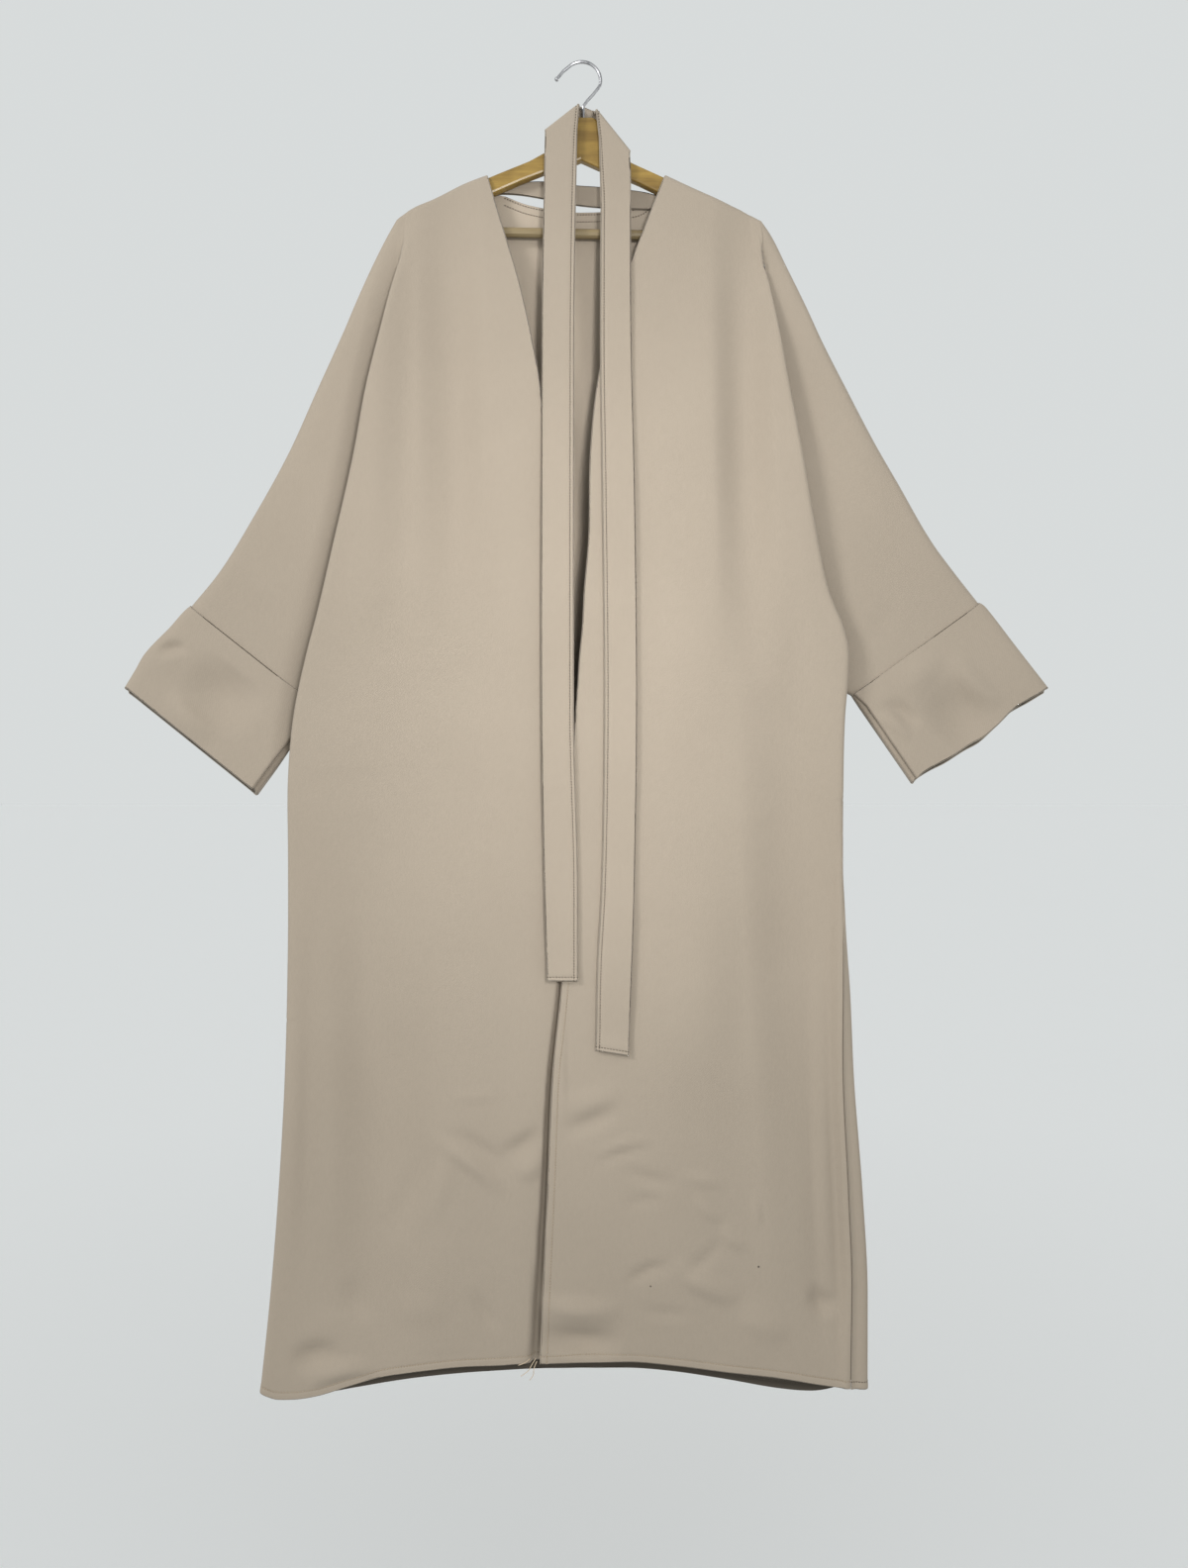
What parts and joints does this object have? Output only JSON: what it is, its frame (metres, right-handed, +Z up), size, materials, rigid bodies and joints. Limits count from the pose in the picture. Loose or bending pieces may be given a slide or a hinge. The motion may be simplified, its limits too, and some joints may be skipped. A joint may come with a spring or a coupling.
{
  "type": "abaya cloak on a wooden hanger",
  "caption": "Open-front abaya cloak with wide dolman sleeves and deep turned cuffs, its loose belt and neck strap, hanging flat on a contoured wooden hanger with a bar and wire hook.",
  "frame": {"origin": "the inside top of the hook, where it hangs", "axes": "+Z up, front of the cloak faces -Y, +X to the right as seen from the front"},
  "size_m": [1.0689, 0.0724, 1.5538],
  "materials": {
    "cloth": "matt brushed coat cloth",
    "hanger_wood": "golden varnish",
    "hanger_bar": "pale satin varnish",
    "hook_steel": "bright plated wire"
  },
  "bodies": {
    "root": {"back": "cloth", "front_left": "cloth", "front_right": "cloth", "cuff_left": "cloth", "cuff_right": "cloth", "belt_left": "cloth", "belt_neck": "cloth", "belt_right": "cloth", "neck_strap": "cloth", "hanger_wood": "hanger_wood", "hanger_bar": "hanger_bar", "hanger_hook": "hook_steel"}
  },
  "joints": []
}
